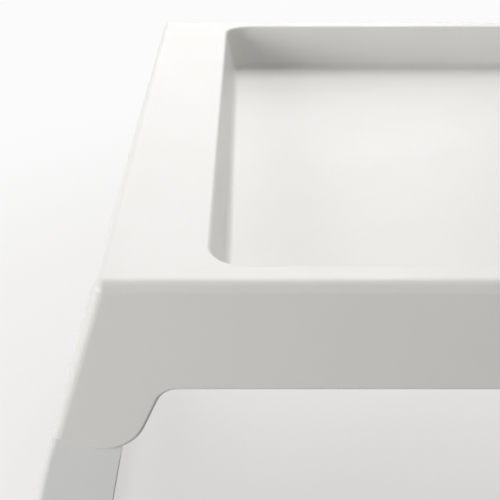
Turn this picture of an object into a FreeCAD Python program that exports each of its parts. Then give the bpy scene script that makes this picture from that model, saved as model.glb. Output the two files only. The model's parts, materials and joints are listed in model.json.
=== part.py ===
# Bed tray table with two leg frames that fold in under the tray. Millimetres.
# +X is the long way, +Z is up and the front faces -Y. The origin is on the bed, under the tray's middle.
# "Depth" in a name is a distance below the top of the rim, unless the comment says otherwise.
import FreeCAD
import Part
import math
import os

os.makedirs("parts", exist_ok=True)

# Overall size
overall_length = 560.0  # over the feet
overall_depth = 360.0  # over the corner housings
overall_height = 260.0  # bed to rim

# Tray shell
foot_spread = 52.0  # how far the feet stand out past the rim's ends
side_flare = 2.0  # how far the corner housings stand out past the rim's front and back
wall = 2.5
end_rake = 17.9  # degrees that the end walls and corner housings lean out
plan_corner_radius = 5.0
top_edge_radius = 4.9
lip_radius = 1.6  # rounding of the shell's lower edge

# Sunk well
end_rim = 43.4
side_rim = 13.8
well_depth = 27.6
well_wall_run = 4.9  # how far a well wall leans in from rim to floor
well_corner_radius = 15.5
well_top_radius = 2.0
well_floor_radius = 4.5

# Skirt and corner housings
skirt_depth = 50.1
housing_width = 40.5  # along the skirt line, from the raked end
housing_outer_depth = 74.9  # where the housing's lower edge meets the raked end
housing_inner_rake = 24.0
housing_inner_radius = 9.5  # hollow curve from skirt into housing
housing_lobe_radius = 19.4
end_housing_width = 38.0  # the same housing seen from the end
end_housing_rake = 12.0
end_lobe_radius = 14.0

# Ribs under the tray
rib_thickness = 1.8
rim_rib_depth = 20.0
rim_rib_pitch = 52.0
floor_rib_height = 4.0
floor_rib_pitch = 65.0

# Hinge
pivot_depth = 60.0
hub_radius = 12.8
hub_gap = 0.6  # hub to end wall
side_gap = 0.5  # leg to the faces beside it
pin_radius = 2.5
pin_running_gap = 0.05
pin_seat_gap = 0.02
boss_radius = 6.0
boss_height = 3.0
boss_bore_depth = 3.6
lug_thickness = 3.5
lug_radius = 10.0
lug_flare = 6.0  # how much wider it is under the rim
lug_corner_radius = 9.0
pin_overhang = 3.2
pin_end_gap = 0.3
pin_chamfer = 0.5
clip_radius = 5.0
clip_thickness = 1.6

# Leg frames
leg_depth = 24.0  # along Y
leg_wall = 2.5
foot_width = 22.0  # along X, at the bed
leg_inner_rake = 13.0  # where the inner edge leaves the hub
shoulder_gap = 1.0
leg_edge_radius = 3.4
crossbar_height = 24.0
frame_corner_radius = 20.0
frame_inner_radius = 14.0
leg_first_rib = 22.0  # from the shoulder down
leg_rib_pitch = 30.0
leg_rib_setback = 1.5
crossbar_rib_pitch = 46.0
elbow_past_pad = 5.0  # from the pad's end to the joint with the crossbar
joint_gap = 0.3

# Tongues, screws and pads
tongue_length = 24.0
tongue_thickness = 3.0
tongue_root = 8.0  # how far a tongue reaches back into its crossbar
screw_boss_height = 8.0
screw_boss_radius = 3.6
screw_radius = 1.5
screw_hole_gap = 0.2
screw_grip = 6.0
screw_tip_gap = 0.5
screw_head_radius = 3.2
screw_head_height = 2.0
screw_drive_width = 3.6
screw_drive_thickness = 0.7
screw_drive_depth = 1.0
screw_drive_margin = 0.1
screw_first = 6.5  # from the joint to the first screw
screw_pitch = 11.0
pad_length = 26.0
pad_width = 15.0
pad_thickness = 2.0
pad_edge_radius = 0.8
pad_corner_gap = 1.0  # from the frame's rounded corner to the pad
pad_corner_radius = 7.0
peg_radius = 2.5
peg_pitch = 12.0
peg_hole_gap = 0.05
peg_stand = 0.8  # how far a peg stands out inside the elbow
peg_tip_gap = 0.4  # from there to the tongue above it

# Cutting shapes
over = 1.0  # how far one runs past the face it cuts
close = 1e-3  # two heights nearer than this count as one
cut_reach = overall_length  # longer than anything it cuts

top_length = overall_length - 2 * foot_spread  # rim's sharp outer edge, before it is rounded
top_depth = overall_depth - 2 * side_flare
pad_from_front = frame_corner_radius + pad_corner_gap + pad_length / 2
elbow_length = pad_from_front + pad_length / 2 + elbow_past_pad
end_slope = math.tan(math.radians(end_rake))
end_lean = math.cos(math.radians(end_rake))
rim_x = top_length / 2
rim_y = top_depth / 2


def point(x, y, z):
    return FreeCAD.Vector(x, y, z)


def unit(vector):
    return FreeCAD.Vector(vector).normalize()


def housing_corner():
    """A lobe's sharp corner as seen from the front: where its inner edge starts, and the corner's place,
    both inward from the rim's end, and the corner's depth."""
    inner_slope = math.tan(math.radians(housing_inner_rake))
    start = housing_width - skirt_depth * end_slope
    outer = -housing_outer_depth * end_slope
    depth_at_start = housing_outer_depth + (start - outer) * end_slope
    fall = (depth_at_start - skirt_depth) / (1 + inner_slope * end_slope)
    return start, start - fall * inner_slope, skirt_depth + fall


def lobe_low_depth():
    """Depth of the lowest point of the rounded lobe."""
    start, corner, depth = housing_corner()
    up_inside = unit(point(start - corner, 0, skirt_depth - depth))
    along_bottom = unit(point(-1, 0, -end_slope))
    half = up_inside.getAngle(along_bottom) / 2
    reach = unit(up_inside.add(along_bottom)) * (housing_lobe_radius / math.sin(half))
    centre = point(corner, 0, depth).add(reach)
    return centre.z + housing_lobe_radius


# Worked out from the sizes above
side_slope = side_flare / lobe_low_depth()
block_depth = housing_corner()[2] + over
sole_z = pad_thickness
pivot_x = -rim_x - pivot_depth * end_slope + (wall + hub_gap + hub_radius) / end_lean
pivot_z = overall_height - pivot_depth


def side_y(depth):
    """Half the tray's front-to-back size at a depth below the rim."""
    return rim_y + depth * side_slope


def end_x(depth):
    """Half the tray's length at a depth below the rim."""
    return rim_x + depth * end_slope


shell_inside_y = side_y(pivot_depth - hub_radius) - wall
leg_front_y = shell_inside_y - side_gap
leg_back_y = leg_front_y - leg_depth
lug_y = leg_back_y - side_gap
boss_end_y = side_y(pivot_depth) - wall - boss_height
joint_y = leg_front_y - elbow_length


def box(low_x, low_y, low_z, high_x, high_y, high_z):
    return Part.makeBox(high_x - low_x, high_y - low_y, high_z - low_z, point(low_x, low_y, low_z))


def rod(radius, start, end):
    run = end.sub(start)
    return Part.makeCylinder(radius, run.Length, start, run)


def rounded_rectangle(length, width, radius, z):
    """A closed outline in the plane at height z, about the Z axis."""
    x = length / 2
    y = width / 2
    diagonal = radius * (1 - math.sqrt(0.5))
    edges = []
    for sx, sy in ((1, 1), (-1, 1), (-1, -1), (1, -1)):
        along_y = point(sx * x, sy * (y - radius), z)
        middle = point(sx * (x - diagonal), sy * (y - diagonal), z)
        along_x = point(sx * (x - radius), sy * y, z)
        ends = (along_y, along_x) if sx * sy > 0 else (along_x, along_y)
        edges.append(Part.Arc(ends[0], middle, ends[1]).toShape())
    outline = []
    for i, arc in enumerate(edges):
        outline.append(arc)
        next_arc = edges[(i + 1) % len(edges)]
        outline.append(Part.makeLine(arc.Vertexes[-1].Point, next_arc.Vertexes[0].Point))
    return Part.Wire(outline)


def tapered_block(top, bottom, top_z, bottom_z):
    """A block with straight leaning walls. top and bottom are (length, width, corner radius)."""
    upper = rounded_rectangle(top[0], top[1], top[2], top_z)
    lower = rounded_rectangle(bottom[0], bottom[1], bottom[2], bottom_z)
    return Part.makeLoft([lower, upper], True, True)


def edges_at_height(shape, z):
    found = []
    for edge in shape.Edges:
        bounds = edge.BoundBox
        if abs(bounds.ZMin - z) < close and abs(bounds.ZMax - z) < close:
            found.append(edge)
    return found


def outer_block():
    """The tray's outside, from the rim down past the lowest housing."""
    low_z = overall_height - block_depth
    top = (top_length, top_depth, plan_corner_radius)
    bottom = (2 * end_x(block_depth), 2 * side_y(block_depth), plan_corner_radius)
    return tapered_block(top, bottom, overall_height, low_z)


def inner_block(inset):
    """The tray's outside pulled in by inset, with nothing taken out for the well."""
    inset_x = inset / end_lean
    radius = plan_corner_radius - inset
    high_z = overall_height - inset
    low = block_depth + over
    top = (2 * (end_x(inset) - inset_x), 2 * (side_y(inset) - inset), radius)
    bottom = (2 * (end_x(low) - inset_x), 2 * (side_y(low) - inset), radius)
    block = tapered_block(top, bottom, high_z, overall_height - low)
    return block.makeFillet(top_edge_radius - inset, edges_at_height(block, high_z))


def well_block(offset):
    """The well's outline grown by offset: 0 gives the hollow, the wall gives the material round it."""
    lean = well_wall_run / well_depth
    slant = math.sqrt(1 + lean * lean)
    grow = offset * slant
    low = well_depth + offset
    opening_x = top_length - 2 * end_rim
    opening_y = top_depth - 2 * side_rim

    def size_at(depth):
        shrink = depth * lean - grow
        return opening_x - 2 * shrink, opening_y - 2 * shrink, well_corner_radius - shrink

    high_z = overall_height + over
    low_z = overall_height - low
    block = tapered_block(size_at(-over), size_at(low), high_z, low_z)
    return block.makeFillet(well_floor_radius + offset, edges_at_height(block, low_z))


def rounded_path(corners, radii):
    """Edges along a run of corners, each inner corner rounded to its radius. 0 leaves a corner sharp."""
    edges = []
    start = corners[0]
    for i in range(1, len(corners) - 1):
        here = corners[i]
        back = unit(corners[i - 1].sub(here))
        ahead = unit(corners[i + 1].sub(here))
        radius = radii[i - 1]
        if radius <= 0:
            edges.append(Part.makeLine(start, here))
            start = here
            continue
        half = back.getAngle(ahead) / 2
        reach = radius / math.tan(half)
        first = here.add(back * reach)
        last = here.add(ahead * reach)
        bisector = unit(back.add(ahead))
        middle = here.add(bisector * (radius / math.sin(half) - radius))
        edges.append(Part.makeLine(start, first))
        edges.append(Part.Arc(first, middle, last).toShape())
        start = last
    edges.append(Part.makeLine(start, corners[-1]))
    return edges


def prism(edges, push):
    return Part.Face(Part.Wire(edges)).extrude(push)


def front_outline_cut():
    """What is cut away under the skirt and the housings, as seen from the front."""
    start, lobe_x, lobe_depth = housing_corner()
    past_x = rim_x - end_x(block_depth) - over
    past_depth = lobe_depth + (past_x - lobe_x) * end_slope
    base_z = overall_height - block_depth - over

    def at(x, depth):
        return point(-rim_x + x, -cut_reach, overall_height - depth)

    left = [at(past_x, past_depth), at(lobe_x, lobe_depth), at(start, skirt_depth)]
    right = [point(-p.x, p.y, p.z) for p in reversed(left)]
    radii = [housing_lobe_radius, housing_inner_radius]
    path = rounded_path(left + right, radii + radii[::-1])
    ring = [right[-1], point(right[-1].x, -cut_reach, base_z), point(left[0].x, -cut_reach, base_z), left[0]]
    for a, b in zip(ring, ring[1:]):
        path.append(Part.makeLine(a, b))
    return prism(path, point(0, 2 * cut_reach, 0))


def end_outline_cut():
    """What is cut away between the housings, as seen from the end."""
    slope = math.tan(math.radians(end_housing_rake))
    start_y = side_y(skirt_depth) - end_housing_width
    lobe_depth = housing_outer_depth + wall * end_slope + over
    lobe_y = start_y + (lobe_depth - skirt_depth) * slope
    keep_y = side_y(skirt_depth) - wall - over
    base_depth = block_depth + over

    def at(y, depth):
        return point(-cut_reach, y, overall_height - depth)

    front = [at(-keep_y, base_depth), at(-keep_y, lobe_depth)]
    front += [at(-lobe_y, lobe_depth), at(-start_y, skirt_depth)]
    back = [point(p.x, -p.y, p.z) for p in reversed(front)]
    radii = [0, end_lobe_radius, housing_inner_radius]
    path = rounded_path(front + back, radii + radii[::-1])
    path.append(Part.makeLine(back[-1], front[0]))
    return prism(path, point(2 * cut_reach, 0, 0))


def mirrored(shape, x_side, y_side):
    """The shape made for the left front corner, moved to the corner on the given sides."""
    if x_side > 0:
        shape = shape.mirror(point(0, 0, 0), point(1, 0, 0))
    if y_side > 0:
        shape = shape.mirror(point(0, 0, 0), point(0, 1, 0))
    return shape


def hinge_boss():
    """Blind boss inside the front wall that holds the pin's front end."""
    outside = side_y(pivot_depth) - wall / 2
    return rod(boss_radius, point(pivot_x, -outside, pivot_z), point(pivot_x, -boss_end_y, pivot_z))


def hinge_lug(limit):
    """Plate behind the leg that holds the pin's other end. It hangs from the rim and the end wall."""
    top_z = overall_height
    right_x = pivot_x + lug_radius
    left_x = -end_x(block_depth)
    corners = [point(left_x, -lug_y, top_z), point(right_x + lug_flare, -lug_y, top_z)]
    corners += [point(right_x, -lug_y, pivot_z), point(right_x, -lug_y, pivot_z - lug_radius)]
    corners += [point(left_x, -lug_y, pivot_z - lug_radius), point(left_x, -lug_y, top_z)]
    edges = rounded_path(corners, [0, 0, lug_corner_radius, 0])
    plate = prism(edges, point(0, lug_thickness, 0))
    return plate.common(limit)


def pin_holes():
    """Bores for the pin in boss and lug."""
    radius = pin_radius + pin_seat_gap
    boss_start = boss_end_y + boss_bore_depth
    front = rod(radius, point(pivot_x, -boss_start, pivot_z), point(pivot_x, -boss_end_y + over, pivot_z))
    lug_end = lug_y - lug_thickness - over
    back = rod(radius, point(pivot_x, -lug_y - over, pivot_z), point(pivot_x, -lug_end, pivot_z))
    return front.fuse(back)


def rib_places(room, pitch):
    """Places of evenly pitched ribs: one in the middle, and as many on each side as the room holds."""
    side_count = int(room // pitch)
    return [i * pitch for i in range(-side_count, side_count + 1)]


def rim_ribs(limit):
    """Ribs across the hollow end rims, between the hinge lugs."""
    ribs = []
    for y in rib_places(lug_y - lug_thickness - rim_rib_pitch / 2, rim_rib_pitch):
        low_z = overall_height - rim_rib_depth
        rib = box(-end_x(block_depth), y - rib_thickness / 2, low_z,
                  -rim_x + end_rim + well_wall_run, y + rib_thickness / 2, overall_height)
        ribs.append(rib.common(limit))
        ribs.append(rib.mirror(point(0, 0, 0), point(1, 0, 0)).common(limit))
    return ribs


def floor_ribs():
    """Low ribs that stiffen the well's floor from below."""
    inset = well_wall_run + well_floor_radius + floor_rib_height
    half_x = rim_x - end_rim - inset
    half_y = rim_y - side_rim - inset
    high_z = overall_height - well_depth - wall / 2
    low_z = overall_height - well_depth - wall - floor_rib_height
    ribs = []
    for x in rib_places(half_x - floor_rib_pitch / 2, floor_rib_pitch):
        ribs.append(box(x - rib_thickness / 2, -half_y, low_z, x + rib_thickness / 2, half_y, high_z))
    for y in rib_places(half_y - floor_rib_pitch / 2, floor_rib_pitch):
        ribs.append(box(-half_x, y - rib_thickness / 2, low_z, half_x, y + rib_thickness / 2, high_z))
    return ribs


def tray_top():
    """Rim, well, skirts and housings in one wall thickness, with the hinge lugs and ribs inside."""
    outside = outer_block()
    body = outside.makeFillet(top_edge_radius, edges_at_height(outside, overall_height))
    hollow = inner_block(wall).cut(well_block(wall))
    shell = body.cut(hollow)
    shell = shell.cut(well_block(0.0))
    shell = shell.makeFillet(well_top_radius, well_rim_edges(shell))
    shell = shell.cut(front_outline_cut())
    shell = shell.cut(end_outline_cut())
    shell = shell.makeFillet(lip_radius, lip_edges(shell))
    middle_of_wall = inner_block(wall / 2)
    extras = rim_ribs(middle_of_wall.cut(well_block(wall / 2))) + floor_ribs()
    for x_side in (-1, 1):
        for y_side in (-1, 1):
            extras.append(mirrored(hinge_boss(), x_side, y_side))
            extras.append(mirrored(hinge_lug(middle_of_wall), x_side, y_side))
    shell = shell.fuse(extras)
    for x_side in (-1, 1):
        for y_side in (-1, 1):
            shell = shell.cut(mirrored(pin_holes(), x_side, y_side))
    return shell.removeSplitter()


def lip_edges(shell):
    """Edges where the outside of skirts and housings meets their lower edge."""
    corner_slack = 0.2  # the leaning corner is not quite round at every height
    found = []
    for edge in shell.Edges:
        middle = edge.valueAt((edge.FirstParameter + edge.LastParameter) / 2)
        depth = overall_height - middle.z
        corner_x = end_x(depth) - abs(middle.x)
        corner_y = side_y(depth) - abs(middle.y)
        straight_side = min(corner_x, corner_y) < 10 * close
        in_corner = max(corner_x, corner_y) < plan_corner_radius
        away = math.hypot(plan_corner_radius - corner_x, plan_corner_radius - corner_y)
        round_corner = in_corner and abs(away - plan_corner_radius) < corner_slack
        low = depth > skirt_depth - over and edge.BoundBox.ZLength < skirt_depth / 2
        if low and (straight_side or round_corner):
            found.append(edge)
    return found


def well_rim_edges(shell):
    """The top edges that lie inside the rim, round the well's mouth."""
    found = []
    for edge in edges_at_height(shell, overall_height):
        bounds = edge.BoundBox
        inside_x = max(abs(bounds.XMin), abs(bounds.XMax)) < rim_x - end_rim + over
        inside_y = max(abs(bounds.YMin), abs(bounds.YMax)) < rim_y - side_rim + over
        if inside_x and inside_y:
            found.append(edge)
    return found


def arc_from_tangent(start, heading, end):
    """A circular arc that leaves start along heading and stops at end."""
    chord = end.sub(start)
    turn = heading.getAngle(chord)
    normal = heading.cross(chord)
    if turn < 1e-6:
        return Part.makeLine(start, end)
    radius = chord.Length / 2 / math.sin(turn)
    across = unit(normal.cross(chord))
    rise = radius * (1 - math.cos(turn))
    middle = start.add(chord * 0.5).sub(across * rise)
    return Part.Arc(start, middle, end).toShape()


def outer_start():
    """Where the leg's outer curve starts, just below the corner of the housing."""
    depth = housing_outer_depth + shoulder_gap * math.cos(math.radians(end_rake))
    x = -rim_x - housing_outer_depth * end_slope - shoulder_gap * math.sin(math.radians(end_rake))
    return x, overall_height - depth


def leg_outline(inset, y):
    """The leg's outline from the side: neck, shoulder, curved outside and foot, up to the pivot.
    inset moves every side but the inner one into the leg, for its hollow."""
    rake = math.radians(end_rake)
    lean = math.radians(leg_inner_rake)
    down_rake = point(-math.sin(rake), 0, -math.cos(rake))
    inward = point(math.cos(rake), 0, -math.sin(rake))
    down_inside = point(-math.sin(lean), 0, -math.cos(lean))
    start_x, start_z = outer_start()
    start = point(start_x, y, start_z).add(inward * inset).add(down_rake * inset)
    foot = point(-overall_length / 2 + inset, y, sole_z + inset)
    pivot = point(pivot_x, y, pivot_z)
    hub_out = pivot.sub(inward * (hub_radius - inset))
    hub_in = pivot.add(point(math.cos(lean), 0, -math.sin(lean)) * hub_radius)
    neck_foot = hub_out.add(down_rake * start.sub(hub_out).dot(down_rake))
    edges = rounded_path([hub_in, pivot, hub_out, neck_foot, start], [0, 0, 0])
    edges.append(arc_from_tangent(start, down_rake, foot))
    if inset:
        open_x = pivot_x + 2 * hub_radius
        corners = [foot, point(open_x, y, foot.z), point(open_x, y, hub_in.z), hub_in]
        edges += rounded_path(corners, [0, 0])
    else:
        heel = point(-overall_length / 2 + foot_width, y, foot.z)
        edges.append(Part.makeLine(foot, heel))
        edges.append(arc_from_tangent(hub_in, down_inside, heel))
    return Part.Wire(Part.__sortEdges__(edges))


def u_outline(inset, x):
    """The frame from the end: two legs and the crossbar, open at the top."""
    out_y = leg_front_y - inset
    in_y = leg_back_y + inset
    low_z = sole_z + inset
    bar_z = sole_z + crossbar_height - inset
    top_z = overall_height
    outer = [point(x, -out_y, top_z), point(x, -out_y, low_z), point(x, out_y, low_z), point(x, out_y, top_z)]
    inner = [point(x, in_y, top_z), point(x, in_y, bar_z), point(x, -in_y, bar_z), point(x, -in_y, top_z)]
    outer_radius = frame_corner_radius - inset
    inner_radius = frame_inner_radius + inset
    edges = rounded_path(outer, [outer_radius, outer_radius])
    edges.append(Part.makeLine(outer[-1], inner[0]))
    edges += rounded_path(inner, [inner_radius, inner_radius])
    edges.append(Part.makeLine(inner[-1], outer[0]))
    return Part.Wire(edges)


def frame_body(inset):
    """Two legs and crossbar of the left frame as one block, before they are parted."""
    side = Part.Face(leg_outline(inset, -cut_reach)).extrude(point(0, 2 * cut_reach, 0))
    end = Part.Face(u_outline(inset, -cut_reach)).extrude(point(cut_reach, 0, 0))
    return side.common(end)


def outer_edges(body):
    """Long edges along the frame's outer curved face."""
    start_x, start_z = outer_start()
    largest = None
    for face in body.Faces:
        bounds = face.BoundBox
        spans = bounds.YLength > 2 * leg_back_y and bounds.ZLength > start_z / 2
        on_outside = bounds.XMin < -overall_length / 2 + over and bounds.XMax < start_x + over
        if spans and on_outside and (largest is None or face.Area > largest.Area):
            largest = face
    found = []
    for edge in largest.Edges:
        if edge.BoundBox.ZMin < start_z - over:
            found.append(edge)
    return found


def leg_ribs(body):
    """Cross ribs in the open channel of one leg, from the shoulder down to the crossbar's height."""
    ribs = []
    first_z = outer_start()[1] - leg_first_rib
    last_z = sole_z + crossbar_height + rib_thickness
    for i in range(int((first_z - last_z) // leg_rib_pitch) + 1):
        low_z = first_z - i * leg_rib_pitch - rib_thickness / 2
        rib = box(-cut_reach, -leg_front_y, low_z, 0, -leg_back_y, low_z + rib_thickness)
        ribs.append(rib.common(body))
    return ribs


def crossbar_ribs(body):
    ribs = []
    for y in rib_places(joint_y - joint_gap - tongue_root - rib_thickness, crossbar_rib_pitch):
        low_y = y - rib_thickness / 2
        rib = box(-cut_reach, low_y, sole_z, 0, low_y + rib_thickness, sole_z + crossbar_height)
        ribs.append(rib.common(body))
    return ribs


def setback_body(body):
    """The frame's block pulled in from its open side, which the ribs stay behind."""
    return body.common(body.translated(point(-leg_rib_setback, 0, 0)))


def hub_cuts():
    """Pin bore through the hub, and the counterbore that clears the tray's boss."""
    front = point(pivot_x, -leg_front_y - over, pivot_z)
    bore = rod(pin_radius + pin_running_gap, front, point(pivot_x, -leg_back_y + over, pivot_z))
    mouth = rod(boss_radius + side_gap, front, point(pivot_x, -boss_end_y + side_gap, pivot_z))
    return bore.fuse(mouth)


def hub():
    """Solid hub, its front edge rounded to clear the tray's inner corner."""
    body = rod(hub_radius, point(pivot_x, -leg_front_y, pivot_z), point(pivot_x, -leg_back_y, pivot_z))
    front = []
    for edge in body.Edges:
        if edge.BoundBox.YMax < -leg_front_y + close:
            front.append(edge)
    return body.makeFillet(plan_corner_radius - wall - side_gap, front)


def neck_trim():
    """What the leg's neck loses above the shoulder, so that it clears the tray's rounded corner."""
    inset_x = (wall + hub_gap) / end_lean
    radius = plan_corner_radius - wall - side_gap
    low = block_depth + over
    top = (2 * (rim_x - inset_x), 2 * (rim_y - wall - side_gap), radius)
    bottom = (2 * (end_x(low) - inset_x), 2 * (side_y(low) - wall - side_gap), radius)
    room = tapered_block(top, bottom, overall_height, overall_height - low)
    start_x, start_z = outer_start()
    across = 4 * hub_radius
    reach = point(across * math.cos(math.radians(end_rake)), 0, -across * math.sin(math.radians(end_rake)))
    start = point(start_x, -cut_reach, start_z).sub(reach)
    end = point(start_x, -cut_reach, start_z).add(reach)
    corners = [start, end, point(end.x, end.y, overall_height)]
    corners += [point(start.x, start.y, overall_height), start]
    above = prism(rounded_path(corners, [0, 0, 0]), point(0, cut_reach, 0))
    return above.cut(room)


def screw_places():
    """Y and Z of the two screws at the left front joint."""
    z = sole_z + crossbar_height / 2
    return [(-(joint_y + screw_first + i * screw_pitch), z) for i in range(2)]


def screw_bosses():
    bosses = []
    start_x = -overall_length / 2 + leg_wall / 2
    end = screw_seat_x()
    for y, z in screw_places():
        bosses.append(rod(screw_boss_radius, point(start_x, y, z), point(end, y, z)))
    return bosses


def screw_seat_x():
    """Where the screw bosses end and the crossbar's tongue lies on them."""
    return -overall_length / 2 + leg_wall + screw_boss_height


def screw_pilots():
    radius = screw_radius
    start_x = screw_seat_x() - screw_grip
    holes = []
    for y, z in screw_places():
        holes.append(rod(radius, point(start_x, y, z), point(screw_seat_x() + over, y, z)))
    return holes


def pad_middle_y():
    return -(leg_front_y - pad_from_front)


def peg_places():
    """Y of the two pegs of the left front pad."""
    return [pad_middle_y() - peg_pitch / 2, pad_middle_y() + peg_pitch / 2]


def pad_middle_x():
    return -overall_length / 2 + foot_width / 2


def peg_holes():
    x = pad_middle_x()
    top_z = sole_z + leg_wall + over
    holes = []
    for y in peg_places():
        holes.append(rod(peg_radius + peg_hole_gap, point(x, y, 0), point(x, y, top_z)))
    return holes


def front_leg(block, hollow):
    """The left front leg: hub, channel, elbow, screw bosses and peg holes."""
    half = box(-cut_reach, -overall_depth, 0, 0, -joint_y, overall_height)
    leg = block.cut(hollow).common(half).cut(neck_trim())
    filler = setback_body(block).common(half)
    leg = leg.fuse([hub()] + leg_ribs(filler) + screw_bosses())
    leg = leg.cut([hub_cuts()] + screw_pilots() + peg_holes())
    return leg.removeSplitter()


def tongue():
    """The crossbar's end that lies in the elbow, on the screw bosses."""
    side_room = leg_wall + peg_stand + peg_tip_gap
    low_z = sole_z + side_room
    high_z = sole_z + crossbar_height - side_room
    end_y = -(joint_y + tongue_length)
    root_y = -(joint_y - tongue_root)
    seat_x = screw_seat_x()
    open_x = -overall_length / 2 + foot_width - leg_rib_setback
    plate = box(seat_x, end_y, low_z, seat_x + tongue_thickness, root_y, high_z)
    low_flange = box(seat_x, end_y, low_z, open_x, root_y, low_z + rib_thickness)
    high_flange = box(seat_x, end_y, high_z - rib_thickness, open_x, root_y, high_z)
    return plate.fuse([low_flange, high_flange])


def screw_clearances():
    holes = []
    for y, z in screw_places():
        start = point(screw_seat_x() - over, y, z)
        end = point(screw_seat_x() + tongue_thickness + over, y, z)
        holes.append(rod(screw_radius + screw_hole_gap, start, end))
    return holes


def crossbar(block, hollow):
    """The left crossbar: open channel with ribs, closed ends and a tongue at each end."""
    end_y = joint_y - joint_gap
    middle = box(-cut_reach, -end_y, 0, 0, end_y, overall_height / 2)
    bar = block.cut(hollow).common(middle)
    filler = setback_body(block).common(middle)
    front_tongue = tongue().cut(screw_clearances())
    extras = [front_tongue, mirrored(front_tongue, -1, 1)]
    for side in (-1, 1):
        y = side * (end_y - rib_thickness / 2)
        end_wall = box(-cut_reach, y - rib_thickness / 2, 0, 0, y + rib_thickness / 2, overall_height / 2)
        extras.append(end_wall.common(filler))
    bar = bar.fuse(extras + crossbar_ribs(filler))
    return bar.removeSplitter()


def round_edges(shape):
    return [edge for edge in shape.Edges if edge.Curve.TypeId == "Part::GeomCircle"]


def hinge_pin():
    """Straight steel pin with chamfered ends."""
    start = boss_end_y + boss_bore_depth - pin_end_gap
    end = lug_y - lug_thickness - pin_overhang
    pin = rod(pin_radius, point(pivot_x, -start, pivot_z), point(pivot_x, -end, pivot_z))
    return pin.makeChamfer(pin_chamfer, round_edges(pin))


def pin_clip():
    """Dished ring that is pushed over the pin's end, against the lug."""
    seat = -(lug_y - lug_thickness)
    far = seat + clip_thickness
    ring = rod(clip_radius, point(pivot_x, seat, pivot_z), point(pivot_x, far, pivot_z))
    rim = [edge for edge in round_edges(ring) if edge.BoundBox.YMin > far - close]
    ring = ring.makeFillet(clip_thickness / 2, rim)
    start = point(pivot_x, seat - over, pivot_z)
    bore = rod(pin_radius + pin_seat_gap, start, point(pivot_x, far + over, pivot_z))
    return ring.cut(bore)


def foot_pad():
    """Soft pad with rounded edges, held by two pegs through the elbow's sole."""
    x = pad_middle_x()
    outline = rounded_rectangle(pad_width, pad_length, pad_corner_radius, 0.0)
    pad = Part.Face(outline).extrude(point(0, 0, pad_thickness))
    pad = pad.makeFillet(pad_edge_radius, edges_at_height(pad, 0.0))
    pad.translate(point(x, pad_middle_y(), 0))
    peg_top = sole_z + leg_wall + peg_stand
    pegs = []
    for y in peg_places():
        pegs.append(rod(peg_radius, point(x, y, pad_thickness / 2), point(x, y, peg_top)))
    return pad.fuse(pegs).removeSplitter()


def screw(y, z):
    """Round-headed screw with a cross recess, driven outwards through the tongue into its boss."""
    head_x = screw_seat_x() + tongue_thickness
    top_x = head_x + screw_head_height
    tip_x = screw_seat_x() - screw_grip + screw_tip_gap
    shank = rod(screw_radius, point(tip_x, y, z), point(head_x + screw_head_height / 4, y, z))
    head = rod(screw_head_radius, point(head_x, y, z), point(top_x, y, z))
    rim = [edge for edge in round_edges(head) if edge.BoundBox.XMin > top_x - close]
    head = head.makeFillet(screw_head_radius - screw_drive_width / 2 - screw_drive_margin, rim)
    half_width = screw_drive_width / 2
    half_blade = screw_drive_thickness / 2
    floor_x = top_x - screw_drive_depth
    slot = box(floor_x, y - half_width, z - half_blade, top_x + over, y + half_width, z + half_blade)
    cross = box(floor_x, y - half_blade, z - half_width, top_x + over, y + half_blade, z + half_width)
    return head.fuse(shank).cut([slot, cross])


def crossbar_screws():
    screws = []
    for y, z in screw_places():
        one = screw(y, z)
        screws.append(one)
        screws.append(mirrored(one, -1, 1))
    return Part.makeCompound(screws)


def save(shape, name):
    if not shape.isValid():
        print("not valid:", name)
    shape.exportStep("parts/" + name + ".step")
    print(name, len(shape.Solids), round(shape.Volume / 1000, 2), "cc")


def main():
    save(tray_top(), "tray_top")
    block = frame_body(0.0)
    block = block.makeFillet(leg_edge_radius, outer_edges(block))
    hollow = frame_body(leg_wall)
    leg = front_leg(block, hollow)
    bar = crossbar(block, hollow)
    pin = hinge_pin()
    clip = pin_clip()
    pad = foot_pad()
    screws = crossbar_screws()
    for x_name, x_side in (("left", -1), ("right", 1)):
        save(mirrored(bar, x_side, -1), x_name + "_crossbar")
        save(mirrored(screws, x_side, -1), x_name + "_crossbar_screws")
        for y_name, y_side in (("front", -1), ("back", 1)):
            corner = x_name + "_" + y_name
            save(mirrored(leg, x_side, y_side), corner + "_leg")
            save(mirrored(pin, x_side, y_side), corner + "_hinge_pin")
            save(mirrored(clip, x_side, y_side), corner + "_pin_clip")
            save(mirrored(pad, x_side, y_side), corner + "_foot_pad")


main()
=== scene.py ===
# %% [markdown]
# # A bed tray table with two fold-in leg frames
#
# The table is one white polypropylene moulding with a sunk well, on two U-shaped leg frames that turn on
# steel pins inside its corner housings. The engineering model already holds the mouldings at their real size,
# with every rounding, so this notebook keeps them and adds what the eye sees: finishes, light, and the small
# hardware in full detail. It could all be drawn again from nothing, but then the pins would no longer meet
# their bores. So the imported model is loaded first, and everything else is worked out from it.

# %% Load the frame
import json
import math

import bmesh
import bpy
from mathutils import Matrix, Vector


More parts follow.
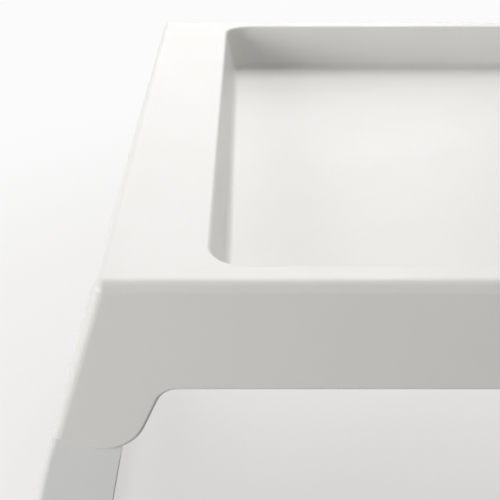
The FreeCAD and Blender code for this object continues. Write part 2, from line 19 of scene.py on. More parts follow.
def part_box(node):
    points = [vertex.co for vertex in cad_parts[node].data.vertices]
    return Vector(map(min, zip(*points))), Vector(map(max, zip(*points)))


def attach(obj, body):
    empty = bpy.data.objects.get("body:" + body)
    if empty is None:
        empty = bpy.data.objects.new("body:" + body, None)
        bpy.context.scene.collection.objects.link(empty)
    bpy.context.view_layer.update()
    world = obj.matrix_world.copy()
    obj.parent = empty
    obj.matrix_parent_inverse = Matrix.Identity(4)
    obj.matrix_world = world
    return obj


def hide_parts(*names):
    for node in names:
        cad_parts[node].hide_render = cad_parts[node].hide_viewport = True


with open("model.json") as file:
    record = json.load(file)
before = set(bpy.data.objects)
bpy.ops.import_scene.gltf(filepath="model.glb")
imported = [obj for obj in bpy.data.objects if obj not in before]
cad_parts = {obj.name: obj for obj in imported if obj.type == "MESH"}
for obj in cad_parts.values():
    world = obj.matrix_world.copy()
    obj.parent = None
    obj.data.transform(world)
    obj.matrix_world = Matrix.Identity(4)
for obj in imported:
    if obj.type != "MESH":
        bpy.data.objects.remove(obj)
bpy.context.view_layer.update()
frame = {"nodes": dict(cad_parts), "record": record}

MM = 0.001
tray_low, tray_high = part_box("tray_top")
CORNERS = ("left_front", "left_back", "right_front", "right_back")

# %% [markdown]
# ## Camera
#
# The picture is a close view of the front left corner, looking straight back over the tray and down at it.
# A camera could be placed by eye, but straight edges in a picture fix it much better. Once its tilt is
# chosen, the lines of the rim, the well and the skirt leave one place and one focal length that put them all
# where the picture has them. The camera's place is measured from the tray, so it stays right if the tray
# grows.

# %% Camera
CAMERA_FROM_LEFT = 83.2 * MM  # in from the tray's left end
CAMERA_IN_FRONT = 299.5 * MM  # of the corner housings
CAMERA_ABOVE_RIM = 185.1 * MM
CAMERA_TILT = 29.5  # degrees below level
CAMERA_LENS = 67.3  # mm, on a 36 mm sensor

camera_data = bpy.data.cameras.new("camera")
camera = bpy.data.objects.new("camera", camera_data)
bpy.context.scene.collection.objects.link(camera)
camera_data.lens = CAMERA_LENS
camera_data.sensor_width = 36.0
camera_data.clip_start = 0.01
camera.location = (
    tray_low.x + CAMERA_FROM_LEFT,
    tray_low.y - CAMERA_IN_FRONT,
    tray_high.z + CAMERA_ABOVE_RIM,
)
camera.rotation_euler = (math.radians(90.0 - CAMERA_TILT), 0.0, 0.0)
bpy.context.scene.camera = camera
print("camera, mm:", [round(v / MM) for v in camera.location])

# %% [markdown]
# ## Colours and nodes
#
# A few helpers carry every finish below. Colours are written as sRGB hex values, the way a colour card gives
# them, and turned to the linear values that the renderer adds up. A pattern's scale in a noise node is how
# many fit in a metre, so a helper turns a size in millimetres into that. The last ones add one shader node
# with its settings, its plain values and its links in a single call, and start and end a material.

# %% Colour and node helpers
# A Mix node has its inputs and outputs once for each kind of value, so those for colours go by number.
SHARE, FIRST, SECOND = 0, 6, 7
MIXED = 2


def linear(hex_colour):
    """A colour such as #e6e6e2 as linear red, green, blue and alpha."""
    channels = []
    for start in (1, 3, 5):
        value = int(hex_colour[start:start + 2], 16) / 255
        channels.append(value / 12.92 if value <= 0.04045 else ((value + 0.055) / 1.055) ** 2.4)
    return (*channels, 1.0)


def per_metre(size_mm):
    """The scale at which a pattern repeats once in that many millimetres."""
    return 1000.0 / size_mm


def add_node(tree, kind, inputs, **settings):
    """Adds a shader node. An input given as another node's socket is linked, and any other value is set."""
    node = tree.nodes.new("ShaderNode" + kind)
    for name, value in settings.items():
        setattr(node, name, value)
    for name, value in inputs.items():
        if isinstance(value, bpy.types.NodeSocket):
            tree.links.new(value, node.inputs[name])
        else:
            node.inputs[name].default_value = value
    return node


def new_material(name):
    """An empty node material, its tree and the place on the object that patterns are drawn from."""
    material = bpy.data.materials.new(name)
    material.use_nodes = True
    tree = material.node_tree
    tree.nodes.clear()
    return material, tree, add_node(tree, "TexCoord", {}).outputs["Object"]


def finish_material(tree, shader):
    """Sends the last shader to the material's output."""
    output = tree.nodes.new("ShaderNodeOutputMaterial")
    tree.links.new(shader.outputs[0], output.inputs["Surface"])


# %% [markdown]
# ## Floor
#
# The table stands in a white studio whose background is nearly out of sight. Its glow carries painted
# shade: pale grey under the tray, where the table's shade falls, and white further away. A bigger or stronger
# lamp on the floor would also light the table's underside, which the picture shows dark. So the floor shows
# its pale colour to the camera and to gloss and glass, and is a quieter grey to the light that bounces off
# it. Beside the table a third of what the camera sees is the lit floor, so the table keeps its soft shadow.
# That share fades out further away, where the floor turns into the white backdrop with no horizon.

# %% Floor
FLOOR_SIZE = 12.0
FLOOR_DROP = 0.2 * MM  # keeps the floor off the flat soles
# painted shade: the floor glows this greyer tone near the table, where the table's shade falls
FLOOR_NEAR_PAINTED_SHADE = "#eeeceb"
FLOOR_FAR = "#fbfbfb"
FLOOR_NEAR_RADIUS = 0.15
FLOOR_FAR_RADIUS = 0.8
FLOOR_LIT = "#f2f1f0"
FLOOR_BOUNCE = "#8f8e8c"
FLOOR_LIT_SHARE = 0.35  # beside the table, and none far from it

floor_mesh = bmesh.new()
bmesh.ops.create_grid(floor_mesh, x_segments=1, y_segments=1, size=FLOOR_SIZE / 2)
bmesh.ops.translate(floor_mesh, vec=(0, 0, -FLOOR_DROP), verts=floor_mesh.verts)
floor_data = bpy.data.meshes.new("studio_floor")
floor_mesh.to_mesh(floor_data)
floor_mesh.free()
floor = bpy.data.objects.new("studio_floor", floor_data)
bpy.context.scene.collection.objects.link(floor)


def seen_directly(tree):
    """1 for what the camera sees, also in gloss and through glass, and 0 for light that bounces."""
    path = add_node(tree, "LightPath", {})
    gloss = add_node(tree, "Math", {
        0: path.outputs["Is Camera Ray"],
        1: path.outputs["Is Glossy Ray"],
    }, operation="MAXIMUM")
    either = add_node(tree, "Math", {
        0: gloss.outputs[0],
        1: path.outputs["Is Transmission Ray"],
    }, operation="MAXIMUM")
    return either.outputs[0]


def painted_floor(name):
    """Painted shade, pale grey near the table and white far from it, and a quieter grey to the light that
    bounces.
    """
    material, tree, place = new_material(name)
    radius = add_node(tree, "VectorMath", {0: place}, operation="LENGTH")
    away = add_node(tree, "MapRange", {
        "Value": radius.outputs["Value"], "From Min": FLOOR_NEAR_RADIUS, "From Max": FLOOR_FAR_RADIUS,
    }, interpolation_type="SMOOTHSTEP")
    # painted shade: the glow turns from grey near the table to white further out
    paper = add_node(tree, "Mix", {
        SHARE: away.outputs[0], FIRST: linear(FLOOR_NEAR_PAINTED_SHADE), SECOND: linear(FLOOR_FAR),
    }, data_type="RGBA")
    seen = seen_directly(tree)
    paint = add_node(tree, "Mix", {
        SHARE: seen, FIRST: linear(FLOOR_BOUNCE), SECOND: linear(FLOOR_LIT),
    }, data_type="RGBA")
    lit = add_node(tree, "BsdfDiffuse", {"Color": paint.outputs[MIXED]})
    glow = add_node(tree, "Emission", {"Color": paper.outputs[MIXED], "Strength": 1.0})
    paper_share = add_node(tree, "MapRange", {"Value": away.outputs[0], "To Min": 1.0 - FLOOR_LIT_SHARE})
    glow_share = add_node(tree, "Math", {0: seen, 1: paper_share.outputs[0]}, operation="MULTIPLY")
    finish_material(tree, add_node(tree, "MixShader", {
        0: glow_share.outputs[0], 1: lit.outputs[0], 2: glow.outputs[0],
    }))
    return material


floor_data.materials.append(painted_floor("painted_studio_floor"))
print("floor, m:", FLOOR_SIZE, "square, white from", FLOOR_FAR_RADIUS)

# %% [markdown]
# ## Light
#
# The picture tells where its light comes from. The front is an even grey, but the well's back wall, which
# faces the same way, darkens towards the left. So the light on them comes low from the front left, where the
# well's left wall hides it. The well's floor is nearly as bright as the rim, which takes a panel overhead.
# The rim brightens as it runs away from the camera, and the well's front edge has a thin highlight. Both are
# gloss seen at a low angle, so there is a bright screen behind the table. A weak screen in front and one on
# the right fill what is left in shade. Small lamps would draw hard shadows, which the picture does not have,
# so each one is a large soft panel.

# %% Lights
ROOM_STRENGTH = 0.1
tray_middle = Vector((0.0, 0.0, tray_high.z))


def soft_panel(name, place, size, power):
    """A square lamp, in metres and watts, that faces the tray's middle and is not seen itself."""
    data = bpy.data.lights.new(name, "AREA")
    data.shape = "SQUARE"
    data.size = size
    data.energy = power
    lamp = bpy.data.objects.new(name, data)
    bpy.context.scene.collection.objects.link(lamp)
    lamp.location = place
    lamp.rotation_euler = (tray_middle - Vector(place)).to_track_quat("-Z", "Y").to_euler()
    lamp.visible_camera = False


soft_panel("left_window", place=(-1.9, -1.2, 0.58), size=1.4, power=39.5)
soft_panel("ceiling_panel", place=(0.0, 1.3, 2.4), size=1.8, power=45.0)
soft_panel("back_screen", place=(-0.2, 2.5, 1.6), size=1.9, power=18.5)
soft_panel("front_screen", place=(0.3, -2.4, 0.5), size=1.2, power=6.0)
soft_panel("right_wall", place=(2.2, -0.3, 0.9), size=1.7, power=5.0)

world = bpy.data.worlds.new("studio")
bpy.context.scene.world = world
world.use_nodes = True
tree = world.node_tree
tree.nodes.clear()
room = add_node(tree, "Background", {"Color": linear("#ffffff"), "Strength": ROOM_STRENGTH})
backdrop = add_node(tree, "Background", {"Color": linear(FLOOR_FAR), "Strength": 1.0})
mixed = add_node(tree, "MixShader", {0: seen_directly(tree), 1: room.outputs[0], 2: backdrop.outputs[0]})
add_node(tree, "OutputWorld", {0: mixed.outputs[0]})
bpy.context.scene.view_settings.view_transform = "Standard"

# %% [markdown]
# ## Polypropylene
#
# Tray and leg frames are satin polypropylene, injection moulded in a spark-eroded mould. That gives the eye a
# milky white with soft edges, because light enters the plastic a little way, and a low gloss that only shows
# at flat angles. The grain of the mould is far finer than a pixel, so it is drawn a little coarser than it
# is, and very shallow. Larger walls of a real moulding are never dead flat, and handling polishes them in
# patches, so two slow patterns carry a faint waviness and a change in gloss. The legs come from another mould
# and another batch, which is why they are a shade cooler.

# %% Polypropylene
GRAIN_SIZE = 0.7  # mm, drawn coarser than the real 0.05 mm so that it shows
WAVE_SIZE = 38.0
PATCH_SIZE = 24.0
TONE_SIZE = 90.0


def moulded_polypropylene(name, colour, other_tone):
    """Milky white with soft edges and a low, slightly patchy gloss."""
    material, tree, place = new_material(name)
    tone = add_node(tree, "TexNoise", {"Vector": place, "Scale": per_metre(TONE_SIZE), "Detail": 2.0})
    body = add_node(tree, "Mix", {
        SHARE: tone.outputs[0], FIRST: linear(colour), SECOND: linear(other_tone),
    }, data_type="RGBA")
    patches = add_node(tree, "TexNoise", {"Vector": place, "Scale": per_metre(PATCH_SIZE), "Detail": 4.0})
    gloss = add_node(tree, "MapRange", {
        "Value": patches.outputs[0], "From Min": 0.3, "From Max": 0.7, "To Min": 0.36, "To Max": 0.44,
    })
    waves = add_node(tree, "TexNoise", {"Vector": place, "Scale": per_metre(WAVE_SIZE), "Detail": 1.0})
    waviness = add_node(tree, "Bump", {"Height": waves.outputs[0], "Strength": 1.0, "Distance": 0.06 * MM})
    grain = add_node(tree, "TexNoise", {"Vector": place, "Scale": per_metre(GRAIN_SIZE), "Detail": 2.0})
    texture = add_node(tree, "Bump", {
        "Height": grain.outputs[0], "Strength": 0.5, "Distance": 0.02 * MM, "Normal": waviness.outputs[0],
    })
    finish_material(tree, add_node(tree, "BsdfPrincipled", {
        "Base Color": body.outputs[MIXED],
        "Roughness": gloss.outputs[0],
        "IOR": 1.49,
        "Subsurface Weight": 0.25,
        "Subsurface Radius": (1.0, 0.95, 0.88),
        "Subsurface Scale": 1.5 * MM,
        "Normal": texture.outputs[0],
    }))
    return material


tray_plastic = moulded_polypropylene("tray_polypropylene", "#e8e7e4", "#e4e3df")
leg_plastic = moulded_polypropylene("leg_polypropylene", "#e6e6e4", "#e2e2df")
for name, node in frame["nodes"].items():
    node.data.materials.clear()
    node.data.materials.append(tray_plastic if name == "tray_top" else leg_plastic)
print("finished nodes:", len(frame["nodes"]))

# %% [markdown]
# ## Small pieces
#
# The small parts are turned, stamped or moulded, and most of them are round. Each one is modelled in
# millimetres about its own upright axis, which keeps its drawing simple, and then turned and moved into the
# place of the solid that it stands for. Spinning a profile makes a true round part with few points. A
# cylinder with bevels would do as well, but it has no room for a dimple or a crowned head.

# %% Drawing helpers
SHARP_ANGLE = math.radians(32.0)
WELD = 1e-4  # mm


def draw_line(shape, profile, closed=False):
    """Adds a line through (radius, height) points, in millimetres, and returns all that it is made of."""
    points = [shape.verts.new((radius, 0.0, height)) for radius, height in profile]
    ends = points[1:] + points[:1] if closed else points[1:]
    return points + [shape.edges.new(pair) for pair in zip(points, ends)]


def spin(shape, parts, angle, steps, climb=0.0, whole_turn=False, copies=False):
    """Spins parts round the upright axis, rising by the climb at each step, and returns the last ones."""
    return bmesh.ops.spin(
        shape, geom=parts, cent=(0, 0, 0), axis=(0, 0, 1), dvec=(0, 0, climb), angle=angle, steps=steps,
        use_merge=whole_turn, use_normal_flip=False, use_duplicate=copies,
    )["geom_last"]


def turned(profile, steps):
    """A round part from its half section, with its poles closed."""
    shape = bmesh.new()
    spin(shape, draw_line(shape, profile), math.tau, steps, whole_turn=True)
    bmesh.ops.remove_doubles(shape, verts=shape.verts, dist=WELD)
    return shape


def only_points(parts):
    return [part for part in parts if isinstance(part, bmesh.types.BMVert)]


def at_height(edge, height):
    return all(abs(vert.co.z - height) < WELD for vert in edge.verts)


def add_shape(whole, part):
    """Copies a finished part into a larger shape."""
    data = bpy.data.meshes.new("part")
    part.to_mesh(data)
    part.free()
    whole.from_mesh(data)
    bpy.data.meshes.remove(data)


# %% Placing helpers
body_of_node = {}
for body, members in frame["record"]["behaviour"]["bodies"].items():
    for member in members:
        body_of_node[member] = body


def put_in_place(shape, place, axis):
    """Turns a piece's upright axis to the given direction and moves it there, from millimetres to metres."""
    turn = Vector((0, 0, 1)).rotation_difference(Vector(axis)).to_matrix().to_4x4()
    move = Matrix.Translation(Vector(place))
    bmesh.ops.transform(shape, matrix=move @ turn @ Matrix.Scale(MM, 4), verts=shape.verts)


def new_piece(shape, name, material, body):
    """Makes the finished shape a piece that rides on a body, smooth but for its sharp edges."""
    bmesh.ops.recalc_face_normals(shape, faces=shape.faces)
    for face in shape.faces:
        face.smooth = True
    for edge in shape.edges:
        edge.smooth = edge.calc_face_angle(math.pi) < SHARP_ANGLE
    data = bpy.data.meshes.new(name)
    shape.to_mesh(data)
    shape.free()
    data.materials.append(material)
    piece = bpy.data.objects.new(name, data)
    bpy.context.scene.collection.objects.link(piece)
    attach(piece, body)
    return piece


def stands_for(piece, node):
    """Hides the solid of the engineering model that the piece stands for."""
    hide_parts(node)


# %% [markdown]
# ## Hinge pins
#
# Each pin is cut from drawn steel rod. Drawing leaves fine lines along the rod, which smear its highlight
# across them. The ends are chamfered so that the pin finds its bore, and each has the small dimple that the
# lathe's centre leaves.

# %% Drawn steel
DRAW_LINE_WIDTH = 0.12  # mm
DRAW_LINE_LENGTH = 9.0


def drawn_steel(name):
    """Bare grey metal with fine lines along the rod, Y, that spread its highlight."""
    material, tree, place = new_material(name)
    across, along = per_metre(DRAW_LINE_WIDTH), per_metre(DRAW_LINE_LENGTH)
    stretched = add_node(tree, "Mapping", {"Vector": place, "Scale": (across, along, across)})
    lines = add_node(tree, "TexNoise", {"Vector": stretched.outputs[0], "Scale": 1.0, "Detail": 3.0})
    metal = add_node(tree, "Mix", {
        SHARE: lines.outputs[0], FIRST: linear("#b9bbbe"), SECOND: linear("#cfd1d3"),
    }, data_type="RGBA")
    gloss = add_node(tree, "MapRange", {"Value": lines.outputs[0], "To Min": 0.18, "To Max": 0.38})
    relief = add_node(tree, "Bump", {"Height": lines.outputs[0], "Strength": 0.4, "Distance": 0.01 * MM})
    finish_material(tree, add_node(tree, "BsdfPrincipled", {
        "Base Color": metal.outputs[MIXED], "Metallic": 1.0, "Roughness": gloss.outputs[0],
        "Normal": relief.outputs[0],
    }))
    return material


pin_steel = drawn_steel("drawn_steel_rod")

# %% Pins
PIN_STEPS = 40
PIN_CHAMFER = 0.5
PIN_CHAMFER_LENGTH = 0.6
PIN_CHAMFER_MIDDLE = (0.125, 0.35)  # in from the side and up from the end, so that the chamfer is rounded
PIN_DIMPLE_RADIUS = 0.6
PIN_DIMPLE_DEPTH = 0.45


def turned_pin(radius, length):
    """A pin that stands on its end, with the same chamfer and dimple at both ends."""
    first_half = [
        (0.0, PIN_DIMPLE_DEPTH),
        (PIN_DIMPLE_RADIUS, 0.0),
        (radius - PIN_CHAMFER, 0.0),
        (radius - PIN_CHAMFER_MIDDLE[0], PIN_CHAMFER_MIDDLE[1]),
        (radius, PIN_CHAMFER_LENGTH),
    ]
    second_half = [(across, length - up) for across, up in reversed(first_half)]
    return turned(first_half + second_half, PIN_STEPS)


for corner in CORNERS:
    node = corner + "_hinge_pin"
    low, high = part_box(node)
    radius = (high.z - low.z) / 2 / MM
    length = (high.y - low.y) / MM
    pin = turned_pin(radius, length)
    put_in_place(pin, ((low.x + high.x) / 2, low.y, (low.z + high.z) / 2), (0, 1, 0))
    stands_for(new_piece(pin, corner + "_steel_pin", pin_steel, body_of_node[node]), node)
print("pins, mm:", round(2 * radius, 2), "x", round(length, 1))

# %% [markdown]
# ## Push-on clips
#
# A star-shaped washer of zinc-plated spring steel keeps each pin in. It is stamped and dished, and its six
# teeth point up along the pin and bite into it, so it goes on but not off. Bright zinc gives the eye a bluish
# silver with pale clouds and a straw tint here and there. One sixth of the clip is enough to model: a piece
# of ring with one tooth, spun over a sixth of a turn and copied round. Cutting slots out of a whole disc
# would give the same shape, with worse faces round the slots.

# %% Zinc plate
ZINC_CLOUD_SIZE = 2.5  # mm, how large the plating's paler clouds are
ZINC_TINT_SIZE = 7.5  # and its yellower ones
ZINC_GRAIN_SIZE = 0.25


def bright_zinc(name):
    """Bluish silver with pale clouds and a faint straw tint."""
    material, tree, place = new_material(name)
    clouds = add_node(tree, "TexNoise", {"Vector": place, "Scale": per_metre(ZINC_CLOUD_SIZE), "Detail": 3.0})
    silver = add_node(tree, "Mix", {
        SHARE: clouds.outputs[0], FIRST: linear("#b4b9c0"), SECOND: linear("#d2d3d1"),
    }, data_type="RGBA")
    stain = add_node(tree, "TexNoise", {"Vector": place, "Scale": per_metre(ZINC_TINT_SIZE)})
    tint = add_node(tree, "MapRange", {
        "Value": stain.outputs[0], "From Min": 0.45, "From Max": 0.8, "To Max": 0.5,
    })
    plate = add_node(tree, "Mix", {
        SHARE: tint.outputs[0], FIRST: silver.outputs[MIXED], SECOND: linear("#cdc5a6"),
    }, data_type="RGBA")
    grain = add_node(tree, "TexNoise", {"Vector": place, "Scale": per_metre(ZINC_GRAIN_SIZE)})
    gloss = add_node(tree, "MapRange", {"Value": clouds.outputs[0], "To Min": 0.2, "To Max": 0.42})
    relief = add_node(tree, "Bump", {"Height": grain.outputs[0], "Strength": 0.3, "Distance": 0.01 * MM})
    finish_material(tree, add_node(tree, "BsdfPrincipled", {
        "Base Color": plate.outputs[MIXED], "Metallic": 1.0, "Roughness": gloss.outputs[0],
        "Normal": relief.outputs[0],
    }))
    return material


zinc = bright_zinc("bright_zinc_plate")

# %% Clips
CLIP_TEETH = 6
CLIP_STEPS = 10  # in one tooth's share of the ring
CLIP_SLOT_STEPS = 2  # left open on each side of a tooth
CLIP_SHEET = 0.35
CLIP_RING = [(4.95, 0.2), (4.4, 0.2), (3.9, 0.38)]  # radius and height, from the rim in
CLIP_TOOTH = [(3.9, 0.38), (3.2, 0.82), (2.56, 1.24)]
CLIP_WELD = 1e-3  # mm, between the copied sixths


def spin_steps(shape, profile, first_step, last_step):
    """Spins a profile over a few of the ring's steps."""
    step = math.tau / CLIP_TEETH / CLIP_STEPS
    line = draw_line(shape, profile)
    start = Matrix.Rotation(first_step * step, 3, "Z")
    bmesh.ops.rotate(shape, cent=(0, 0, 0), matrix=start, verts=only_points(line))
    spin(shape, line, (last_step - first_step) * step, last_step - first_step)


def star_clip():
    """A dished ring of sheet with teeth, standing on height zero."""
    shape = bmesh.new()
    spin_steps(shape, CLIP_RING, 0, CLIP_STEPS)
    spin_steps(shape, CLIP_TOOTH, CLIP_SLOT_STEPS, CLIP_STEPS - CLIP_SLOT_STEPS)
    bmesh.ops.remove_doubles(shape, verts=shape.verts, dist=WELD)
    sixth = shape.verts[:] + shape.edges[:] + shape.faces[:]
    spin(shape, sixth, math.tau * (CLIP_TEETH - 1) / CLIP_TEETH, CLIP_TEETH - 1, copies=True)
    bmesh.ops.remove_doubles(shape, verts=shape.verts, dist=CLIP_WELD)
    bmesh.ops.recalc_face_normals(shape, faces=shape.faces)
    bmesh.ops.solidify(shape, geom=shape.faces[:], thickness=CLIP_SHEET)
    lowest = min(vert.co.z for vert in shape.verts)
    bmesh.ops.translate(shape, vec=(0, 0, -lowest), verts=shape.verts)
    return shape


for corner in CORNERS:
    node = corner + "_pin_clip"
    low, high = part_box(node)
    seat, inward = (low.y, 1) if "front" in corner else (high.y, -1)
    clip = star_clip()
    put_in_place(clip, ((low.x + high.x) / 2, seat, (low.z + high.z) / 2), (0, inward, 0))
    stands_for(new_piece(clip, corner + "_star_clip", zinc, body_of_node[node]), node)
print("clip teeth:", CLIP_TEETH)

# %% [markdown]
# ## Crossbar screws
#
# Two screws at each elbow hold the crossbar's tongue. They are plated screws for plastic: a crowned head with
# a tapered cross recess, and a coarse sharp thread on a thin core. The head and core are one spun profile.
# The recess is a cross drawn in the open top, bridged to the ring round it and pushed down. The thread is a
# small triangle spun with a climb, which makes a true helix. A bump pattern would be cheaper, but its outline
# would stay smooth.

# %% Screw head and core
SCREW_STEPS = 36
SCREW_HEAD_HEIGHT = 2.0
SCREW_CROWN = [(3.08, 0.0), (3.2, 0.12), (3.2, 0.75), (3.08, 1.15), (2.8, 1.5)]  # radius and height
SCREW_MOUTH = (2.25, 1.8)  # the ring round the recess
SCREW_CORE = 1.2
SCREW_POINT = 1.2  # length of the tapered tip
RECESS_HALF_WIDTH = 1.75
RECESS_HALF_BLADE = 0.36
RECESS_DEPTH = 1.0
RECESS_TAPER = 0.62


def screw_blank(shank):
    """Shank and head, with the head's top left open inside its mouth ring."""
    core = [(0.0, -shank), (SCREW_CORE, SCREW_POINT - shank), (SCREW_CORE, 0.0)]
    return turned(core + SCREW_CROWN + [SCREW_MOUTH], SCREW_STEPS)


def press_recess(shape):
    """Draws a cross in the open top, closes the top round it and pushes a tapered pocket down from it."""
    mouth = [edge for edge in shape.edges if at_height(edge, SCREW_MOUTH[1])]
    width, blade = RECESS_HALF_WIDTH, RECESS_HALF_BLADE
    corners = []
    for quarter in range(4):
        turn = Matrix.Rotation(quarter * math.pi / 2, 3, "Z")
        for x, y in ((width, -blade), (width, blade), (blade, blade)):
            corners.append(shape.verts.new(turn @ Vector((x, y, SCREW_HEAD_HEIGHT))))
    outline = [shape.edges.new((corners[i - 1], corners[i])) for i in range(len(corners))]
    bmesh.ops.bridge_loops(shape, edges=mouth + outline)
    bottom = only_points(bmesh.ops.extrude_edge_only(shape, edges=outline)["geom"])
    bmesh.ops.scale(shape, vec=(RECESS_TAPER, RECESS_TAPER, 1.0), verts=bottom)
    bmesh.ops.translate(shape, vec=(0, 0, -RECESS_DEPTH), verts=bottom)
    bottom_edges = [edge for edge in shape.edges if all(vert in bottom for vert in edge.verts)]
    bmesh.ops.edgeloop_fill(shape, edges=bottom_edges)


# %% Screw thread
THREAD_STEPS = 20  # in a turn
THREAD_PITCH = 1.05
THREAD_CREST = 1.5
THREAD_ROOT = SCREW_CORE - 0.06  # a little inside the core
THREAD_WIDTH = 0.44
THREAD_STOP = 0.8  # left bare under the head


def wind_thread(shape, start, end):
    """A triangular ridge that winds up the core from one height to the other."""
    crest = (THREAD_CREST, start + THREAD_WIDTH / 2)
    section = [(THREAD_ROOT, start), crest, (THREAD_ROOT, start + THREAD_WIDTH)]
    first = draw_line(shape, section, closed=True)
    turns = (end - start) / THREAD_PITCH
    climb = THREAD_PITCH / THREAD_STEPS
    last = spin(shape, first, turns * math.tau, round(turns * THREAD_STEPS), climb=climb)
    shape.faces.new(only_points(first))
    shape.faces.new(only_points(last))


# %% Screws
SAME_POINT = 0.001 * MM


def loose_parts(node):
    """The lowest and highest corners of each separate solid in a node, from front to back."""
    whole = bmesh.new()
    whole.from_mesh(frame["nodes"][node].data)
    bmesh.ops.remove_doubles(whole, verts=whole.verts, dist=SAME_POINT)
    waiting = set(whole.verts)
    parts = []
    while waiting:
        group = [waiting.pop()]
        for vert in group:
            found = {edge.other_vert(vert) for edge in vert.link_edges} & waiting
            waiting -= found
            group.extend(found)
        low = Vector([min(vert.co[i] for vert in group) for i in range(3)])
        high = Vector([max(vert.co[i] for vert in group) for i in range(3)])
        parts.append((low, high))
    whole.free()
    return sorted(parts, key=lambda part: (part[0].y, part[0].z))


for end, inward in (("left", 1), ("right", -1)):
    node = end + "_crossbar_screws"
    screws = bmesh.new()
    for low, high in loose_parts(node):
        shank = (high.x - low.x) / MM - SCREW_HEAD_HEIGHT
        screw = screw_blank(shank)
        press_recess(screw)
        wind_thread(screw, SCREW_POINT - shank, -THREAD_STOP)
        under_head = (high.x if inward > 0 else low.x) - inward * SCREW_HEAD_HEIGHT * MM
        put_in_place(screw, (under_head, (low.y + high.y) / 2, (low.z + high.z) / 2), (inward, 0, 0))
        add_shape(screws, screw)
    print(end, "screw faces:", len(screws.faces))
    stands_for(new_piece(screws, end + "_threaded_screws", zinc, body_of_node[node]), node)

# %% [markdown]
# ## Foot pads
#
# Each elbow stands on a soft pad of grey thermoplastic rubber, which looks dull and slightly dusty. It is
# moulded with a tread of cross grooves, so that it grips bedclothes and does not scratch a table. Two pegs
# snap through the elbow's sole and hold it. The pad starts as a block with rounded corners. Each groove is
# marked by two cuts across its sole and sunk with an inset, which gives it sloping walls, as a mould needs. A
# bump pattern would not show in its outline.

# %% Pad rubber
PAD_GRAIN_SIZE = 0.35  # mm, drawn coarser than the real 0.1 mm
PAD_DUST_SIZE = 6.0


def pad_rubber(name):
    """Dull mid grey with a fine grain and paler dusty patches."""
    material, tree, place = new_material(name)
    dust = add_node(tree, "TexNoise", {"Vector": place, "Scale": per_metre(PAD_DUST_SIZE), "Detail": 4.0})
    tone = add_node(tree, "Mix", {
        SHARE: dust.outputs[0], FIRST: linear("#a9aaa8"), SECOND: linear("#bdbebb"),
    }, data_type="RGBA")
    grain = add_node(tree, "TexNoise", {"Vector": place, "Scale": per_metre(PAD_GRAIN_SIZE), "Detail": 2.0})
    dull = add_node(tree, "MapRange", {"Value": dust.outputs[0], "To Min": 0.68, "To Max": 0.88})
    relief = add_node(tree, "Bump", {"Height": grain.outputs[0], "Strength": 0.6, "Distance": 0.03 * MM})
    finish_material(tree, add_node(tree, "BsdfPrincipled", {
        "Base Color": tone.outputs[MIXED], "Roughness": dull.outputs[0], "IOR": 1.5,
        "Sheen Weight": 0.1, "Normal": relief.outputs[0],
    }))
    return material


rubber = pad_rubber("thermoplastic_rubber")

# %% Pad block
PAD_CORNER_RADIUS = 7.0
PAD_CORNER_SEGMENTS = 8
PAD_EDGE_RADIUS = 0.8
PAD_EDGE_SEGMENTS = 3


def round_off(shape, edges, radius, segments):
    bmesh.ops.bevel(
        shape, geom=edges, offset=radius, segments=segments, profile=0.5, affect="EDGES", material=-1,
    )


def pad_block(width, length, thickness):
    """A block with round corners, its edge rounded where it meets the bed."""
    shape = bmesh.new()
    bmesh.ops.create_cube(shape, size=1.0)
    bmesh.ops.scale(shape, vec=(width, length, thickness), verts=shape.verts)
    bmesh.ops.translate(shape, vec=(0, 0, thickness / 2), verts=shape.verts)
    uprights = [edge for edge in shape.edges if not at_height(edge, edge.verts[0].co.z)]
    round_off(shape, uprights, PAD_CORNER_RADIUS, PAD_CORNER_SEGMENTS)
    sole_rim = [edge for edge in shape.edges if at_height(edge, 0.0)]
    round_off(shape, sole_rim, PAD_EDGE_RADIUS, PAD_EDGE_SEGMENTS)
    return shape


# %% Pad tread
GROOVE_COUNT = 8
GROOVE_PITCH = 2.7
GROOVE_WIDTH = 1.2
GROOVE_DEPTH = 0.7
GROOVE_SLOPE = 0.18  # how far its walls lean in


def faces_of_sole(shape):
    return [face for face in shape.faces if face.calc_center_median().z < WELD]


def cut_across_sole(shape, y):
    sole = faces_of_sole(shape)
    parts = set(sole)
    for face in sole:
        parts.update(face.edges[:] + face.verts[:])
    bmesh.ops.bisect_plane(shape, geom=list(parts), plane_co=(0, y, 0), plane_no=(0, 1, 0))


def cut_grooves(shape):
    """Sinks evenly spaced grooves across the sole."""
    middles = [(i - (GROOVE_COUNT - 1) / 2) * GROOVE_PITCH for i in range(GROOVE_COUNT)]
    for middle in middles:
        cut_across_sole(shape, middle - GROOVE_WIDTH / 2)
        cut_across_sole(shape, middle + GROOVE_WIDTH / 2)
    strips = []
    for face in faces_of_sole(shape):
        y = face.calc_center_median().y
        if min(abs(y - middle) for middle in middles) < GROOVE_WIDTH / 2:
            strips.append(face)
    bmesh.ops.recalc_face_normals(shape, faces=shape.faces)
    bmesh.ops.inset_region(
        shape, faces=strips, thickness=GROOVE_SLOPE, depth=-GROOVE_DEPTH, use_even_offset=True,
    )


# %% Pads
PEG_STEPS = 28
PEG_PITCH = 12.0
PEG_RADIUS = 2.5
PEG_BARB = 0.35  # how much its snapped-in head widens and tapers
PEG_HEAD_HEIGHT = 0.8
PEG_BARB_HEIGHT = 0.64  # the widest ring, down from the top


def barbed_peg(root, top):
    """A peg that widens at its head, so that it holds once it has snapped in."""
    return turned([
        (0.0, top),
        (PEG_RADIUS - PEG_BARB, top),
        (PEG_RADIUS + PEG_BARB, top - PEG_BARB_HEIGHT),
        (PEG_RADIUS, top - PEG_HEAD_HEIGHT),
        (PEG_RADIUS, root),
        (0.0, root),
    ], PEG_STEPS)


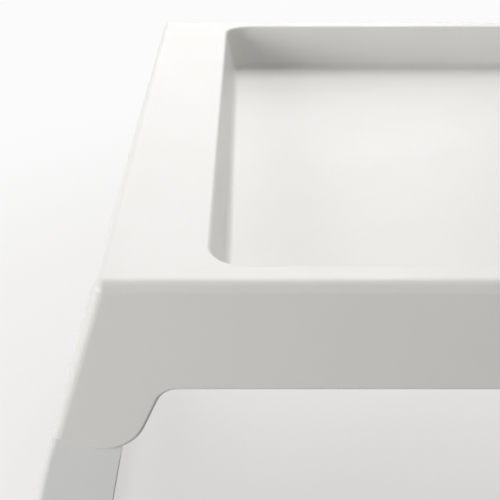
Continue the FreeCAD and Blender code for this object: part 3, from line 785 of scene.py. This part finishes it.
for corner in CORNERS:
    node = corner + "_foot_pad"
    low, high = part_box(node)
    elbow_low, elbow_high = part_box(corner + "_leg")
    width, length, height = (high - low) / MM
    thickness = (elbow_low.z - low.z) / MM
    pad = pad_block(width, length, thickness)
    cut_grooves(pad)
    for side in (-1, 1):
        peg = barbed_peg(thickness / 2, height)
        bmesh.ops.translate(peg, vec=(0, side * PEG_PITCH / 2, 0), verts=peg.verts)
        add_shape(pad, peg)
    put_in_place(pad, ((low.x + high.x) / 2, (low.y + high.y) / 2, low.z), (0, 0, 1))
    stands_for(new_piece(pad, corner + "_tread_pad", rubber, body_of_node[node]), node)
print("pad, mm:", round(width, 1), "x", round(length, 1), "x", round(thickness, 1))

# %% [markdown]
# ## Marks of the mould
#
# The underside of a large moulding always shows how it was made. The pins that push it out of the mould leave
# faint rings between the ribs, and the plastic came in at a gate in the middle, where a small pip is left. A
# ray sent up from below finds the surface that each mark sits on, so none of them floats if the tray changes.

# %% Ejector rings and gate
EJECTOR_ROWS = 4  # and as many columns
EJECTOR_SPACING = 65.0
EJECTOR_RADIUS = 4.0
EJECTOR_STEPS = 36
RING_WIDTH = 0.3
RING_DRAFT = 0.05
RING_HEIGHT = 0.15
MARK_ROOT = 0.1  # how far a mark reaches into the plastic
GATE_PIP = [(0.0, 0.32), (0.4, 0.4), (0.64, 0.28), (0.8, -MARK_ROOT), (0.0, -MARK_ROOT)]  # radius and height
GATE_STEPS = 20
FLAT = 0.01 * MM  # the most that the surface under a ring may vary


def surface_above(x, y):
    """The height of the tray's underside over a place, in metres."""
    hit, place, normal, index = frame["nodes"]["tray_top"].ray_cast((x, y, 0.0), (0, 0, 1))
    return place.z if hit else None


def lies_flat(x, y):
    """Whether the underside is level over the middle and the four sides of a ring."""
    reach = EJECTOR_RADIUS * MM
    around = ((0, 0), (reach, 0), (-reach, 0), (0, reach), (0, -reach))
    heights = [surface_above(x + dx, y + dy) for dx, dy in around]
    return None not in heights and max(heights) - min(heights) <= FLAT


def add_mark(whole, mark, x, y):
    put_in_place(mark, (x, y, surface_above(x, y)), (0, 0, -1))
    add_shape(whole, mark)


inner = EJECTOR_RADIUS - RING_WIDTH
ring_section = [
    (inner, -MARK_ROOT), (inner + RING_DRAFT, RING_HEIGHT), (EJECTOR_RADIUS - RING_DRAFT, RING_HEIGHT),
    (EJECTOR_RADIUS, -MARK_ROOT), (inner, -MARK_ROOT),
]
offsets = [(i - (EJECTOR_ROWS - 1) / 2) * EJECTOR_SPACING * MM for i in range(EJECTOR_ROWS)]
ring_places = [(x, y) for x in offsets for y in offsets if lies_flat(x, y)]
marks = bmesh.new()
for x, y in ring_places:
    add_mark(marks, turned(ring_section, EJECTOR_STEPS), x, y)
add_mark(marks, turned(GATE_PIP, GATE_STEPS), 0.0, 0.0)
new_piece(marks, "mould_marks", tray_plastic, "tray")
print("ejector rings:", len(ring_places))
